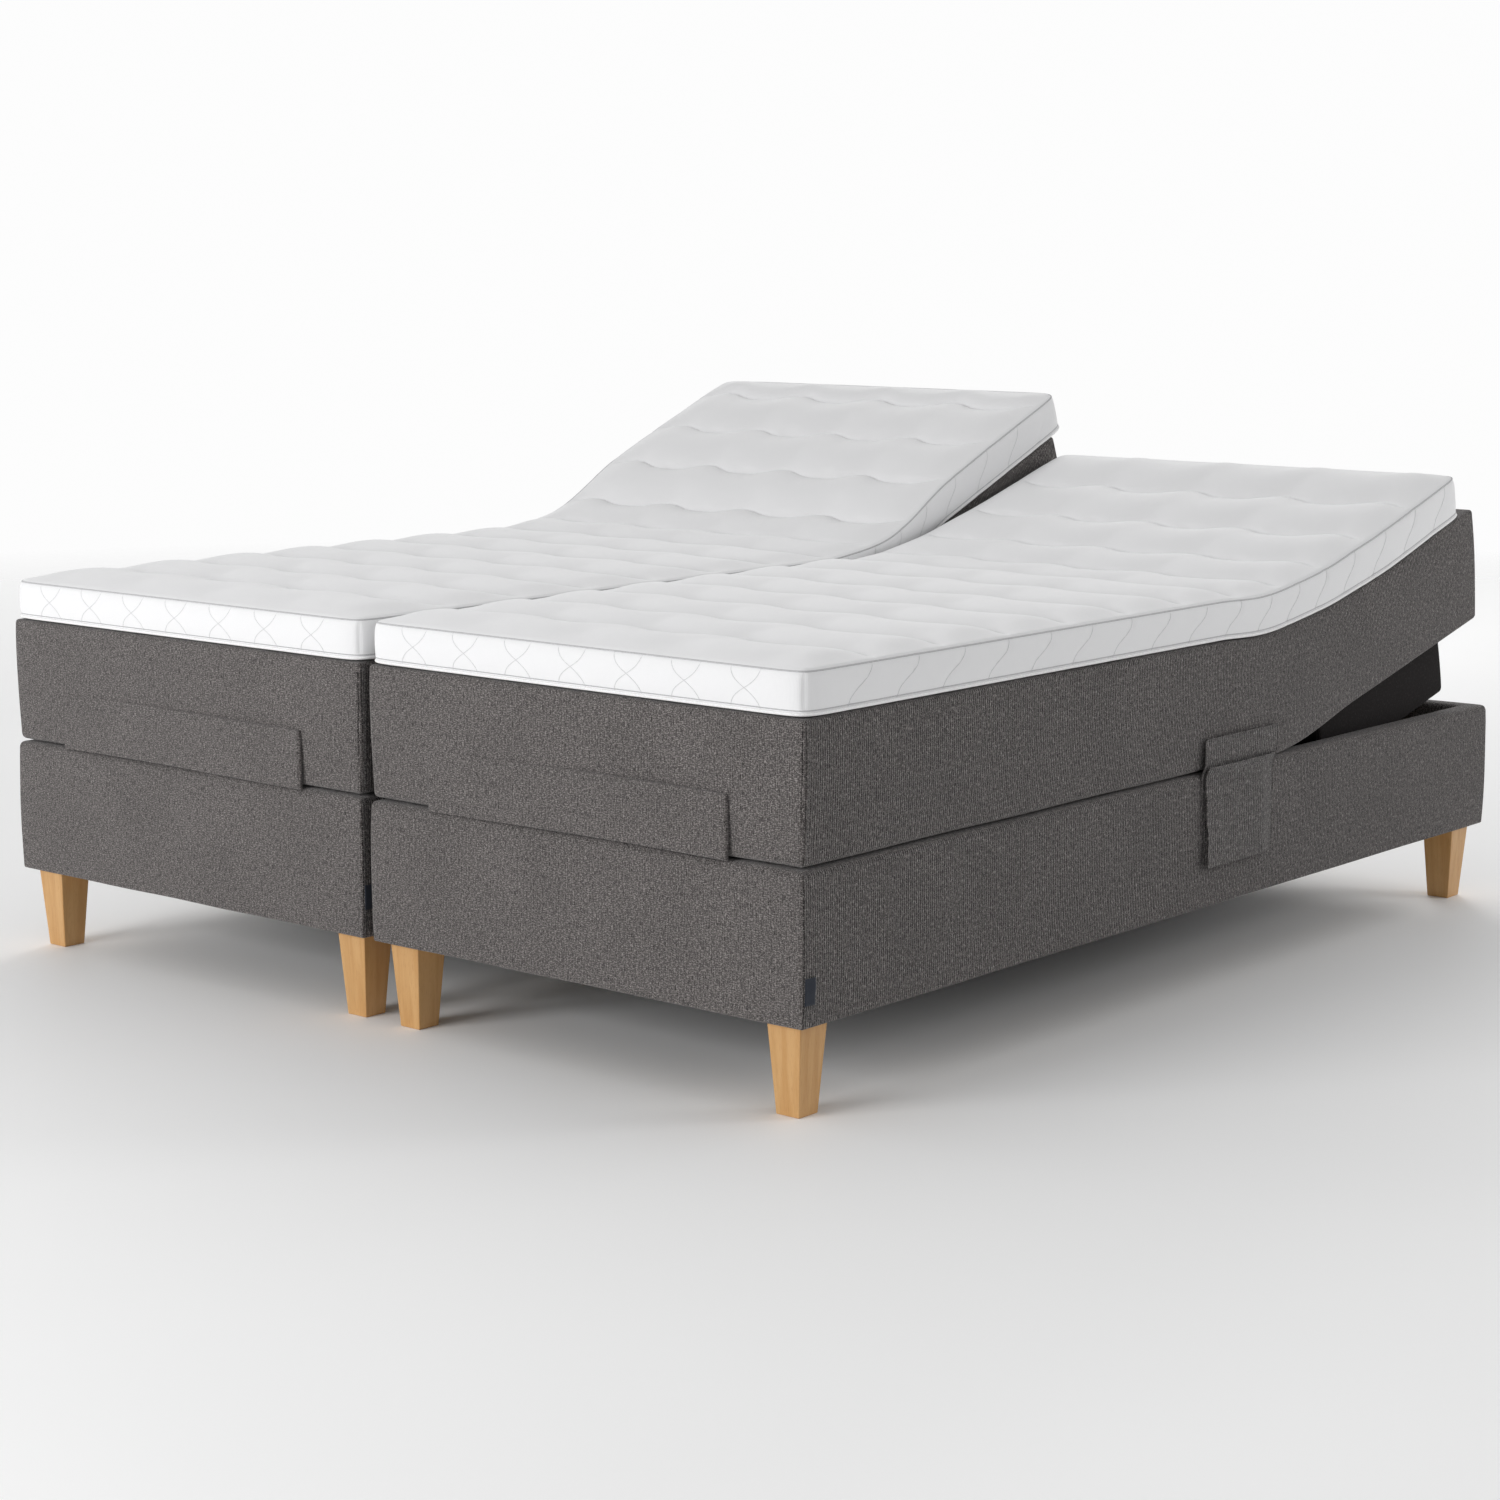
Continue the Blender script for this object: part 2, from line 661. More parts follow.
def make_underbox(unit, material):
    """The padded box under the head section, built flat and then raised with it."""
    high = unit.box("head_underbox")[1]
    inset = unit.box("mattress_head")[1][0] - high[0]
    half_w = unit.half_w - inset
    foot, head = 0.490 + unit.shift, 0.955 + unit.shift
    bottom = unit.plinth[1][2] - 0.127
    low, high = (-half_w, foot, bottom), (half_w, head, unit.low - 0.001)
    co, faces = upholstered(low, high, 0.008, (0.012, 0.002), 0.004)
    co = turned(unit.place(co), unit.hinge, np.full(len(co), unit.angle))
    obj = outward(new_mesh(unit.name + "_underbox_upholstery", co, faces))
    weave_map(obj)
    finish_piece(obj, material)
    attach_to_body(obj, unit.name + "_head")
    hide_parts(unit.name + "_head_underbox")


def make_retainer(unit, material):
    """The flap that keeps the mattress from sliding; its outer end stands a little proud."""
    low, high = unit.box("mattress_retainer")
    half_w = (high[0] - low[0]) / 2 - 0.004
    front = unit.foot_y - 0.0005
    corners = (-half_w, front - 0.0095, low[2] - RETAINER_DROP), (half_w, front - 0.0010, high[2])
    co, faces = upholstered(*corners, 0.003, (0.0022, 0.0022), 0.001, 0.016)
    across = co[:, 0] * unit.side / half_w
    proud = 0.15 + 0.85 * smoothstep((across + 1.0) / 1.9)
    back = co[:, 1] > front - 0.005
    co[~back, 1] = front - 0.003 + (co[~back, 1] - front + 0.003) * proud[~back]
    co[:, 2] += 0.0016 * np.sin(co[:, 0] * 7 + 0.8)
    obj = outward(new_mesh(unit.name + "_retainer_upholstery", unit.place(co), faces))
    weave_map(obj)
    finish_piece(obj, material)
    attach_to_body(obj, unit.name + "_calf")
    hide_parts(unit.name + "_mattress_retainer")


def make_pocket(unit, material):
    """A pocket for the remote control: a back panel, and a pouch that stands off it, open above."""
    (_, y0, z0), (_, y1, z1) = unit.box("remote_pocket")
    face = unit.plinth[1][0] - unit.x if unit.side > 0 else unit.x - unit.plinth[0][0]
    pouch_top = z1 - 0.047
    back, thick = 0.0022, 0.0018

    def ease(z):
        """How far the pocket's top stands out at a height."""
        return FLAP_EASE * smoothstep((z - pouch_top + 0.020) / 0.030)

    ys, zs = (spaced(a, b, 0.012, 0.003, 0.012) for a, b in ((y0, y1), (z0, z1)))
    co, faces = grid_box(np.linspace(face, face + back, 2), ys, zs)
    co = rounded(co, co.min(0), co.max(0), 0.0009, 0.0009, 0.0009)
    wavy = 0.0006 * np.sin((co[:, 1] - y0) / (y1 - y0) * math.pi * 3)
    co[:, 0] += ease(co[:, 2]) + wavy * smoothstep((co[:, 2] - pouch_top) / 0.04)
    panel = outward(new_mesh(unit.name + "_pocket_back", unit.place(co), faces))
    weave_map(panel)

    ys = spaced(y0 + 0.001, y1 - 0.003, 0.008, 0.002, 0.014)
    zs = spaced(z0 + 0.001, pouch_top, 0.008, 0.002, 0.014)
    yy, zz = np.meshgrid(ys, zs, indexing="ij")

    def stand_off(y, z):
        """How far the pouch hangs off the panel: most at the bottom of its foot side."""
        across, up = (y - ys[0]) / (ys[-1] - ys[0]), (z - zs[0]) / (pouch_top - z0)
        sag = POUCH_SAG * (1 - smoothstep(up)) * (1 - 0.5 * smoothstep(across))
        folds = 0.0006 * (np.sin(z * 95 + y * 40) + 0.6 * np.sin(y * 130 + z * 20))
        sewn = 1 - 0.8 * smoothstep((across - 0.78) / 0.22)
        full = 0.0018 * np.sin(np.clip(across, 0, 1) * math.pi) * smoothstep(up)
        return (0.0072 + sag + full + folds) * sewn

    inside = np.minimum(np.minimum(yy - ys[0], ys[-1] - yy), zz - zs[0])
    lift = stand_off(yy, zz) - 0.0012 * (1 - np.clip(inside / 0.003, 0, 1)) ** 2
    hem = np.clip((zz - (pouch_top - 0.014)) / 0.0012, 0, 1)
    lift += 0.0012 * hem + ease(zz)
    outer = np.stack([face + back + lift, yy, zz], -1).reshape(-1, 3)
    walls = gusset_path((y0, y1), (z0, pouch_top), POUCH_SEAM, 0.008)
    near = [(face + 0.0005 + ease(z), y, z) for y, z in walls]
    far = [(face + back - 0.0008 + stand_off(y, z) + ease(z), y, z) for y, z in walls]
    k, w = len(outer), len(walls)
    quads = grid_quads(len(ys), len(zs))
    quads += [(k + i, k + i + 1, k + w + i + 1, k + w + i) for i in range(w - 1)]
    pouch = new_mesh(unit.name + "_pocket_pouch", unit.place(np.vstack([outer, near, far])), quads)
    thicken(pouch, thick, -unit.side)
    for piece in (panel, pouch):
        attach(piece, material, "root")
    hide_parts(unit.name + "_remote_pocket")
    outline = rounded_outline((y0, y1), (z0, z1), 0.004, 0.012)
    path = unit.place([(face + 0.0014 + ease(z), y, z) for y, z in outline])
    binding = tube(unit.name + "_pocket_binding", path, 0.0016, closed=True)
    inner = rounded_outline((y0 + 0.008, y1 - 0.008), (pouch_top - 0.030, z1 - 0.008), 0.004, 0.006)
    path = unit.place([(face + back + ease(z), y, z) for y, z in inner])
    sewing = stitches(unit.name + "_pocket_stitches", path, (unit.side, 0, 0))
    attach(sewing, seam_thread, "root")
    attach(binding, material, "root")


def gusset_path(us, vs, inset, step):
    """Down one side of a rectangle, along its bottom and up its other side, set in from its edges."""
    u0, u1, v0, v1 = us[0] + inset, us[1] - inset, vs[0] + inset, vs[1]
    down = np.linspace(v1, v0, math.ceil((v1 - v0) / step))
    along = np.linspace(u0, u1, math.ceil((u1 - u0) / step))
    return [(u0, v) for v in down] + [(u, v0) for u in along[1:]] + [(u1, v) for v in down[::-1][1:]]


def rounded_outline(us, vs, radius, step):
    """Points round a rectangle with rounded corners, in its own plane."""
    half = ((us[1] - us[0]) / 2, (vs[1] - vs[0]) / 2)
    loop, _ = plan_loop(half, radius, step, 4)
    return loop + ((us[0] + us[1]) / 2, (vs[0] + vs[1]) / 2)


def tube(name, paths, radius, closed=False, sides=8):
    """A round cord along a path of points, or several in one mesh."""
    verts, faces = [], []
    for path in paths if isinstance(paths, list) else [paths]:
        rings, quads = tube_mesh(path, radius, closed, sides)
        faces += [tuple(i + len(verts) for i in quad) for quad in quads]
        verts += list(rings)
    obj = outward(new_mesh(name, verts, faces))
    weave_map(obj)
    return obj


def tube_mesh(path, radius, closed, sides):
    """Rings of points round a path, and their faces."""
    p = np.array(path, float)
    n = len(p)
    if closed:
        along = np.roll(p, -1, 0) - np.roll(p, 1, 0)
    else:
        along = np.gradient(p, axis=0)
    along /= np.linalg.norm(along, axis=1)[:, None]
    up = np.array([0, 0, 1.0]) if np.abs(along[:, 2]).max() < 0.9 else np.array([1.0, 0, 0])
    side = np.cross(along, up)
    side /= np.linalg.norm(side, axis=1)[:, None]
    top = np.cross(side, along)
    angles = np.arange(sides) * 2 * math.pi / sides
    cos, sin = np.cos(angles)[None, :, None], np.sin(angles)[None, :, None]
    rings = p[:, None] + radius * (cos * side[:, None] + sin * top[:, None])
    faces = []
    for i in range(n if closed else n - 1):
        a, b = i * sides, (i + 1) % n * sides
        faces += [(a + k, a + (k + 1) % sides, b + (k + 1) % sides, b + k) for k in range(sides)]
    if not closed:
        faces += [tuple(range(sides)), tuple(range((n - 1) * sides, n * sides))[::-1]]
    return rings.reshape(-1, 3), faces


def stitches(name, path, normal):
    """A line of stitches: short threads that dip into the cloth at both ends."""
    length, gap, radius = STITCH, STITCH_GAP, THREAD / 2
    p = np.array(path, float)
    lengths = np.concatenate([[0], np.cumsum(np.linalg.norm(np.diff(p, axis=0), axis=1))])
    verts, faces, sides = [], [], 6
    outwards = np.array(normal, float)
    start = 0.0
    while start + length < lengths[-1]:
        base = len(verts)
        for k in range(5):
            t = k / 4
            at = start + length * t
            point = np.array([np.interp(at, lengths, p[:, i]) for i in range(3)])
            beyond = min(at + 0.001, lengths[-1])
            ahead = np.array([np.interp(beyond, lengths, p[:, i]) for i in range(3)]) - point
            ahead /= np.linalg.norm(ahead) + 1e-12
            across = np.cross(ahead, outwards)
            point = point + outwards * radius * (1.2 * math.sin(math.pi * t) - 0.5)
            for a in np.arange(sides) * 2 * math.pi / sides:
                verts.append(point + radius * (math.cos(a) * across + math.sin(a) * outwards))
        for k in range(4):
            b = base + k * sides
            c = b + sides
            faces += [(b + i, b + (i + 1) % sides, c + (i + 1) % sides, c + i) for i in range(sides)]
        ring = range(base, base + sides)
        faces += [tuple(ring)[::-1], tuple(i + 4 * sides for i in ring)]
        start += length + gap
    return outward(new_mesh(name, verts, faces))


# ---------------------------------------------------------------- toppers


def wave(u):
    """The quilting's course across the bed: rounded troughs and sharper crests."""
    phase = u / WAVE_LENGTH * 2 * math.pi + WAVE_PHASE
    return WAVE_HEIGHT * (np.cos(phase) + 0.22 * np.cos(2 * phase))


def quilt_rows(unit):
    first = ROW_START[unit.name] + unit.shift
    low, high = unit.topper_foot + 0.05, unit.topper_head - 0.05
    k0 = math.ceil((low - first) / ROW_SPACING)
    k1 = math.floor((high - first) / ROW_SPACING)
    return [first + k * ROW_SPACING for k in range(k0, k1 + 1)]


def from_edges(flat, low, high):
    """How far points lie in from a box's long sides, and from its ends."""
    return tuple(np.minimum(flat[:, i] - low[i], high[i] - flat[:, i]) for i in (0, 1))


def topper_mesh(unit):
    """The topper laid flat: quilted top, bulging border, flat bottom."""
    half_w = unit.topper_half_w
    low = np.array((-half_w, unit.topper_foot, unit.topper_low + 0.001))
    high = np.array((half_w, unit.topper_head, unit.topper_top - PUFF * 0.45))
    rows = quilt_rows(unit)
    ys = list(spaced(low[1], high[1], TOP_GRID, 0.003, 0.012))
    near = (-0.013, -0.006, -0.0025, 0, 0.0025, 0.006, 0.013)
    ys = [y for y in ys if all(abs(y - row) > 0.016 for row in rows)]
    ys += [row + d for row in rows for d in near]
    ys = np.array(sorted(ys))
    xs = spaced(low[0], high[0], TOP_GRID, 0.003, 0.012)
    zs = spaced(low[2], high[2], 0.006, 0.003, 0.009)
    co, faces = grid_box(xs, ys, zs)
    flat = co.copy()
    row_at = np.array([low[1] - 0.02] + rows + [high[1] + 0.02])
    upper = flat[:, 2] > high[2] - 1e-6
    t = np.zeros(len(co))
    span = np.ones(len(co))
    for a, b in zip(row_at[:-1], row_at[1:]):
        inside = (flat[:, 1] >= a) & (flat[:, 1] <= b)
        t[inside] = (flat[inside, 1] - a) / (b - a)
        span[inside] = b - a
    edge, end = from_edges(flat, low, high)
    room = smoothstep(np.minimum(edge, end) / 0.06)
    puff = PUFF * np.sqrt(np.clip(4 * t * (1 - t), 0, 1)) * room
    co = crowned(co, low, high, 0.005, 0.008)
    co = rounded(co, low, high, TOPPER_CORNER, 0.005, 0.011)
    co[upper, 2] += (puff - PUFF * 0.3 * room)[upper]
    fade = smoothstep(end / 0.05)
    co[:, 1] += wave(flat[:, 0]) * fade * np.clip((flat[:, 2] - low[2]) / (high[2] - low[2]), 0, 1) ** 8
    stitched = upper & (np.abs(flat[:, 1][:, None] - np.array(rows)[None]).min(1) < 1e-6) & (edge > 0.004)
    return co, faces, flat, stitched, low, high


def lean(t):
    """How far a line of the border's quilting leans at a height from 0 to 1."""
    return BORDER_LEAN * np.tanh((t - 0.5) * 4)


def border_quilting(flat, low, high):
    """How deep the border is drawn in: S-curved lines along the sides, and the zip at the head end."""
    t = np.clip((flat[:, 2] - low[2]) / (high[2] - low[2]), 0, 1)
    arch = np.sin(math.pi * t) ** 0.5
    edge, end = from_edges(flat, low, high)
    on_side = edge < 1e-6
    on_end = ~on_side & (end < 1e-6)
    along = np.where(on_side, flat[:, 1], flat[:, 0])
    phase = ((along - lean(t)) / BORDER_SPACING) % 1
    off = np.minimum(phase, 1 - phase) * BORDER_SPACING
    groove = np.exp(-((off / 0.0065) ** 2)) * 0.0032
    clear = smoothstep((np.abs(edge - end) - 0.03) / 0.03)
    depth = (np.where(on_side, groove, 0) + np.where(on_end, groove * 0.35, 0)) * clear
    at_head = on_end & (high[1] - flat[:, 1] < 1e-6)
    zip_line = 0.0065 * np.exp(-(((t - 0.5) * (high[2] - low[2]) / 0.006) ** 2))
    depth = depth + np.where(at_head, zip_line, 0)
    return depth * arch * (0 < t) * (t < 1)


def border_lines(unit, quilt, low, high):
    """The sewing lines of the border: S-curves along its sides, crossed ones at its foot end."""
    heights = np.linspace(0.07, 0.93, 13)
    z = low[2] + heights * (high[2] - low[2])
    paths = []

    def places(axis):
        """Where the lines stand along one side, clear of its corners."""
        first = math.ceil((low[axis] + 0.07) / BORDER_SPACING)
        last = math.floor((high[axis] - 0.07) / BORDER_SPACING)
        return [k * BORDER_SPACING for k in range(first, last + 1)]

    for sign in (-1, 1):
        outside = unit.side * sign
        for place in places(1):
            x = np.full(len(z), unit.x + outside * high[0])
            line = np.column_stack([x, place + lean(heights), z])
            paths.append(on_surface(quilt, line, (-outside, 0, 0), 0))
    for turn in (-1, 1):
        for place in places(0):
            line = np.column_stack([unit.x + place + turn * lean(heights), np.full(len(z), low[1]), z])
            paths.append(on_surface(quilt, line, (0, 1, 0), 0))
    return tube(unit.name + "_border_lines", [p for p in paths if len(p) > 3], BORDER_THREAD, sides=6)


def simulate_topper(obj, stitched, pinned, room):
    """Lets the quilted cloth swell between its pinned stitching, as far as there is room at each point."""
    start = vertices_of(obj)
    group = obj.vertex_groups.new(name="held")
    group.add([int(i) for i in np.flatnonzero(stitched | pinned)], 1.0, "REPLACE")
    mod = obj.modifiers.new("cloth", "CLOTH")
    cloth = mod.settings
    cloth.vertex_group_mass = "held"
    cloth.quality = 4
    cloth.mass = 0.25
    cloth.tension_stiffness = cloth.compression_stiffness = 12
    cloth.shear_stiffness = 4
    cloth.bending_stiffness = 0.35
    cloth.shrink_min = -0.002
    cloth.use_pressure = True
    cloth.uniform_pressure_force = 2.2
    cloth.effector_weights.gravity = 0
    cloth.time_scale = 1.0
    mod.collision_settings.use_collision = False
    scene = bpy.context.scene
    for number in range(1, SIM_FRAMES + 1):
        scene.frame_set(number)
    graph = bpy.context.evaluated_depsgraph_get()
    moved = read(obj.evaluated_get(graph).data.vertices, "co")
    obj.modifiers.clear()
    scene.frame_set(1)
    step = moved - start
    reach = np.linalg.norm(step, axis=1)
    step *= (room * np.minimum(1, SWELL_CAP / np.maximum(reach, 1e-9)))[:, None]
    step[pinned] = 0
    set_vertices(obj, start + step)
    obj.vertex_groups.clear()


def make_topper(unit, material, cord_material, piping_material, line_material):
    co, faces, flat, stitched, low, high = topper_mesh(unit)
    obj = outward(new_mesh(unit.name + "_topper", unit.place(co), faces))
    along_normals(obj, -border_quilting(flat, low, high))
    edge, end = from_edges(flat, low, high)
    inside = np.minimum(edge, end)
    on_top = flat[:, 2] > high[2] - 1e-6
    simulate_topper(obj, stitched, ~on_top | (inside < 1e-6), smoothstep(inside / 0.08))
    soften(obj, np.flatnonzero(np.maximum(edge, end) < SOFT_CORNER), 8)
    subdivide(obj)
    weave_map(obj)
    trims = [("lines", border_lines(unit, obj, low, high), line_material)]
    centre, half = ((low + high) / 2)[:2], ((high - low) / 2)[:2]
    loop, normals = plan_loop(half, TOPPER_CORNER, 0.011)
    inward = [(-unit.side * n[0], -n[1], 0) for n in normals]
    for part, z, lift, radius, mat in (
        ("cord", high[2] - 0.0045, 0.0002, 0.0015, cord_material),
        ("seam", low[2] + 0.0085, 0.0002, 0.0009, cord_material),
        ("piping", low[2] + 0.0035, 0.0008, 0.0030, piping_material),
    ):
        path = unit.place(np.column_stack([loop + centre, np.full(len(loop), z)]))
        path = [p for at, into in zip(path, inward) for p in on_surface(obj, [at], into, lift)]
        trims.append((part, tube(f"{unit.name}_{part}", np.array(path), radius, closed=True), mat))
    sections = ("head", "seat", "foot")
    names = [f"topper_{n}_quilt" for n in sections]
    head, seat, foot = bend_over_hinges(obj, unit, names, material)
    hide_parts(unit.name + "_topper_head")
    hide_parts(unit.name + "_topper_seat", unit.name + "_topper_thigh")
    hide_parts(unit.name + "_topper_calf")
    for part, trim, mat in trims:
        bend_over_hinges(trim, unit, [f"topper_{part}_{n}" for n in sections], mat)


# ---------------------------------------------------------------- materials


class Shader:
    """Small helper to lay out a material's nodes."""

    def __init__(self, name, **constants):
        self.material = bpy.data.materials.new(name)
        self.material.use_nodes = True
        self.tree = self.material.node_tree
        self.bsdf = self.tree.nodes["Principled BSDF"]
        for socket, value in constants.items():
            self.bsdf.inputs[socket.replace("_", " ")].default_value = value

    def add(self, kind, inputs=None, **settings):
        node = self.tree.nodes.new("ShaderNode" + kind)
        for key, value in settings.items():
            setattr(node, key, value)
        for key, value in (inputs or {}).items():
            self.feed(node.inputs[key], value)
        return node

    def feed(self, socket, value):
        if isinstance(value, bpy.types.NodeSocket):
            self.tree.links.new(value, socket)
        else:
            socket.default_value = value

    def woven(self, scale):
        """Coordinates on the cloth, in metres times a scale."""
        uv = self.add("UVMap", uv_map="weave").outputs["UV"]
        return self.add("Mapping", {"Vector": uv, "Scale": scale}).outputs["Vector"]

    def space(self, scale):
        """Coordinates in the frame, in metres times a scale."""
        co = self.add("TexCoord").outputs["Object"]
        return self.add("Mapping", {"Vector": co, "Scale": scale}).outputs["Vector"]

    def noise(self, vector, detail=2.0, roughness=0.5, distortion=0.0):
        inputs = {"Vector": vector, "Scale": 1.0, "Detail": detail, "Roughness": roughness}
        return self.add("TexNoise", {**inputs, "Distortion": distortion}).outputs["Fac"]

    def bands(self, vector, direction, distortion=0.0):
        """Bands one unit apart."""
        inputs = {"Vector": vector, "Scale": math.pi / 10, "Distortion": distortion}
        inputs |= {"Detail": 1.0, "Detail Scale": 1.5}
        node = self.add("TexWave", inputs, wave_type="BANDS", bands_direction=direction)
        return node.outputs["Fac"]

    def between(self, value, low, high, to_low=0.0, to_high=1.0):
        inputs = {"Value": value, "From Min": low, "From Max": high, "To Min": to_low, "To Max": to_high}
        return self.add("MapRange", inputs).outputs["Result"]

    def maths(self, operation, a, b):
        node = self.add("Math", operation=operation)
        self.feed(node.inputs[0], a)
        self.feed(node.inputs[1], b)
        return node.outputs[0]

    def mix(self, factor, a, b, blend="MIX"):
        node = self.add("Mix", data_type="RGBA", blend_type=blend)
        self.feed(node.inputs["Factor"], factor)
        self.feed(node.inputs[6], a if isinstance(a, bpy.types.NodeSocket) else (*a, 1))
        self.feed(node.inputs[7], b if isinstance(b, bpy.types.NodeSocket) else (*b, 1))
        return node.outputs[2]

    def bump(self, height, distance, strength=1.0, under=None):
        inputs = {"Height": height, "Distance": distance, "Strength": strength}
        if under is not None:
            inputs["Normal"] = under
        return self.add("Bump", inputs).outputs["Normal"]

    def finish(self, color=None, normal=None, roughness=None):
        for socket, value in (("Base Color", color), ("Normal", normal), ("Roughness", roughness)):
            if value is not None:
                self.feed(self.bsdf.inputs[socket], value)
        return self.material


def heather(name, base, light, dark, thread, relief, slub, rib, ribbing):
    """A woven melange: threads of mixed shades, with slubs that run across and ribs that run up."""
    sh = Shader(name, Roughness=0.92, Sheen_Weight=0.25, Sheen_Roughness=0.45, Specular_IOR_Level=0.25)
    weft = sh.noise(sh.woven((1000 / slub[0], 1000 / slub[1], 1)), detail=3, roughness=0.65)
    warp = sh.noise(sh.woven((1000 / 2.4, 1000 / 11, 1)), detail=2, roughness=0.6)
    specks = sh.noise(sh.woven((1000 / 2.4, 1000 / 1.5, 1)), detail=1)
    broad = sh.noise(sh.woven((7, 5, 1)), detail=2)
    ribs = sh.bands(sh.woven((1000 / rib, 1000 / rib / 6, 1)), "X", 1.5)
    color = sh.mix(sh.between(weft, 0.50, 0.66), base, light)
    color = sh.mix(sh.between(warp, 0.50, 0.66, 0, 0.8), color, dark)
    color = sh.mix(sh.between(ribs, 0.45, 0.0, 0, ribbing), color, dark)
    color = sh.mix(sh.between(specks, 0.58, 0.70, 0, 0.9), color, light)
    shade = sh.between(broad, 0.3, 0.7, 0.93, 1.07)
    shade = sh.add("CombineColor", {"Red": shade, "Green": shade, "Blue": shade}).outputs[0]
    color = sh.mix(1.0, color, shade, "MULTIPLY")
    grid = sh.woven((1000 / thread, 1000 / thread, 1))
    weave = sh.maths("ADD", sh.bands(grid, "X", 1.2), sh.bands(grid, "Y", 1.2))
    normal = sh.bump(weave, relief, 0.6)
    normal = sh.bump(weft, 0.0011, 0.55, normal)
    normal = sh.bump(ribs, 0.0016 * ribbing, 0.6, normal)
    return sh.finish(color, normal, sh.between(specks, 0.3, 0.7, 0.84, 0.97))


def ribbed(name, base, light, dark, rib=3.1):
    """A darker weave with fine ribs, as on the sides of the under-box."""
    sh = Shader(name, Roughness=0.94, Sheen_Weight=0.05, Sheen_Roughness=0.5, Specular_IOR_Level=0.1)
    ribs = sh.bands(sh.woven((1000 / rib, 1000 / rib, 1)), "X", 0.6)
    specks = sh.noise(sh.woven((1000 / 2.5, 1000 / 5.5, 1)), detail=2)
    color = sh.mix(sh.between(ribs, 0.2, 0.9), dark, base)
    color = sh.mix(sh.between(specks, 0.5, 0.75, 0, 0.7), color, light)
    return sh.finish(color, sh.bump(ribs, 0.0006, 0.6), sh.between(specks, 0.3, 0.7, 0.86, 0.97))


def knit(name, base, shade):
    """A soft stretch knit: fine loops in columns, over cloth that is nowhere quite even."""
    sh = Shader(name, Roughness=0.85, Sheen_Weight=0.15, Sheen_Roughness=0.4, Specular_IOR_Level=0.3)
    columns = sh.bands(sh.woven((1000 / 2.1, 1000 / 2.1, 1)), "X", 0.8)
    courses = sh.bands(sh.woven((1000 / 1.5, 1000 / 1.5, 1)), "Y", 0.8)
    loops = sh.maths("MULTIPLY", columns, courses)
    uneven = sh.noise(sh.woven((26, 18, 1)), detail=3, distortion=0.6)
    color = sh.mix(sh.between(loops, 0.0, 0.8), shade, base)
    normal = sh.bump(loops, 0.00035, 0.5)
    normal = sh.bump(uneven, 0.0022, 0.35, normal)
    return sh.finish(color, normal, sh.between(uneven, 0.3, 0.7, 0.80, 0.9))


def wood(name, light, dark, grain, along, gloss, coat=0.0):
    """Straight-grained wood; grain runs along one axis of the frame."""
    ring = 0.012
    sh = Shader(name, Roughness=gloss, Coat_Weight=coat, Coat_Roughness=0.18, Specular_IOR_Level=0.45)
    scale = [1 / ring] * 3
    scale[along] = 1.6
    rings = sh.noise(sh.space(scale), detail=2, distortion=0.8)
    fine = [900.0] * 3
    fine[along] = 22.0
    pores = sh.noise(sh.space(fine), detail=2, roughness=0.6)
    mottle = sh.noise(sh.space((9, 9, 4)), detail=1)
    color = sh.mix(sh.between(rings, 0.35, 0.65), light, dark)
    color = sh.mix(sh.between(pores, 0.55, 0.75, 0, 0.55), color, grain)
    color = sh.mix(sh.between(mottle, 0.3, 0.7, 0.0, 0.22), color, dark)
    return sh.finish(color, sh.bump(pores, 0.00012, 0.35), sh.between(pores, 0.4, 0.8, gloss, gloss + 0.18))


def powder_coat(name, base, wear):
    sh = Shader(name, Roughness=0.42, Specular_IOR_Level=0.5)
    peel = sh.noise(sh.space((700, 700, 700)), detail=1)
    dust = sh.noise(sh.space((12, 12, 12)), detail=4)
    color = sh.mix(sh.between(dust, 0.45, 0.75, 0, 0.5), base, wear)
    return sh.finish(color, sh.bump(peel, 0.00006, 0.6), sh.between(dust, 0.3, 0.7, 0.36, 0.56))


def zinc(name, base, dull):
    sh = Shader(name, Metallic=1.0, Roughness=0.3)
    spangle = sh.noise(sh.space((160, 160, 160)), detail=2)
    drawn = sh.noise(sh.space((40, 1800, 1800)), detail=1)
    color = sh.mix(sh.between(spangle, 0.35, 0.7), base, dull)
    return sh.finish(color, sh.bump(drawn, 0.00004, 0.5), sh.between(spangle, 0.3, 0.7, 0.24, 0.42))


def moulded(name, base, scuffed, gloss):
    sh = Shader(name, Roughness=gloss, Specular_IOR_Level=0.45)
    grainy = sh.noise(sh.space((1100, 1100, 1100)), detail=1)
    scuffs = sh.noise(sh.space((18, 30, 24)), detail=4, roughness=0.65)
    color = sh.mix(sh.between(scuffs, 0.5, 0.8, 0, 0.6), base, scuffed)
    rough = sh.between(scuffs, 0.3, 0.7, gloss - 0.06, gloss + 0.10)
    return sh.finish(color, sh.bump(grainy, 0.00010, 0.6), rough)


def felted(name, base, light):
    """Black non-woven cloth with pressed dots."""
    sh = Shader(name, Roughness=0.95, Specular_IOR_Level=0.2)
    fibres = sh.noise(sh.space((420, 420, 420)), detail=3, distortion=1.2)
    inputs = {"Vector": sh.space((330, 330, 330)), "Scale": 1.0, "Randomness": 0.15}
    dots = sh.add("TexVoronoi", inputs).outputs["Distance"]
    color = sh.mix(sh.between(fibres, 0.45, 0.7), base, light)
    normal = sh.bump(sh.between(dots, 0.0, 0.45), 0.0003, 0.6)
    return sh.finish(color, normal, sh.between(fibres, 0.3, 0.7, 0.9, 0.99))


